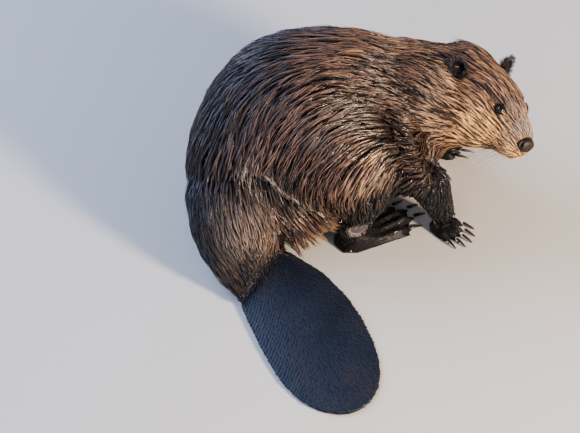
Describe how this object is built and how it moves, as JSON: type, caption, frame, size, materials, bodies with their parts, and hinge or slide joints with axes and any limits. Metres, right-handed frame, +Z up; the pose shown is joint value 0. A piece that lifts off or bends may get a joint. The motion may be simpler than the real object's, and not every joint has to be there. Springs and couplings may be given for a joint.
{
  "type": "beaver, life-size still model",
  "caption": "Life-size museum-style beaver standing hunched on all fours, head turned right and flat scaly tail swept round to the same side.",
  "frame": {"origin": "middle of the bounding box in plan, on the floor that the feet and tail rest on", "axes": "+Z up, +X the way the trunk faces, +Y to the animal's left"},
  "size_m": [0.4708, 0.5586, 0.2765],
  "materials": {
    "back_coat": "wet dark brown fur",
    "flank_coat": "wet brown fur with golden tips",
    "neck_coat": "reddish brown fur",
    "face_coat": "short golden brown fur",
    "limb_coat": "short wet dark fur and bare skin",
    "ear_skin": "dark, thinly furred",
    "tail_scales": "dark scaly skin, satin",
    "nose_skin": "bare moist skin",
    "claw_horn": "dark horn, satin",
    "eye": "dark, clear and glossy"
  },
  "bodies": {
    "root": {"ear_left": "ear_skin", "ear_right": "ear_skin", "eye_left": "eye", "eye_right": "eye", "forearm_left": "limb_coat", "forearm_right": "limb_coat", "forepaw_left": "limb_coat", "forepaw_left_claw_1": "claw_horn", "forepaw_left_claw_2": "claw_horn", "forepaw_left_claw_3": "claw_horn", "forepaw_left_claw_4": "claw_horn", "forepaw_left_claw_5": "claw_horn", "forepaw_right": "limb_coat", "forepaw_right_claw_1": "claw_horn", "forepaw_right_claw_2": "claw_horn", "forepaw_right_claw_3": "claw_horn", "forepaw_right_claw_4": "claw_horn", "forepaw_right_claw_5": "claw_horn", "head": "face_coat", "hind_foot_left": "limb_coat", "hind_foot_left_claw_1": "claw_horn", "hind_foot_left_claw_2": "claw_horn", "hind_foot_left_claw_3": "claw_horn", "hind_foot_left_claw_4": "claw_horn", "hind_foot_left_claw_5": "claw_horn", "hind_foot_right": "limb_coat", "hind_foot_right_claw_1": "claw_horn", "hind_foot_right_claw_2": "claw_horn", "hind_foot_right_claw_3": "claw_horn", "hind_foot_right_claw_4": "claw_horn", "hind_foot_right_claw_5": "claw_horn", "jaw": "face_coat", "neck": "neck_coat", "nose_pad": "nose_skin", "shank_left": "limb_coat", "shank_right": "limb_coat", "tail_base": "back_coat", "tail_paddle": "tail_scales", "thigh_left": "flank_coat", "thigh_right": "flank_coat", "trunk": "back_coat", "upper_arm_left": "flank_coat", "upper_arm_right": "flank_coat"}
  },
  "joints": []
}
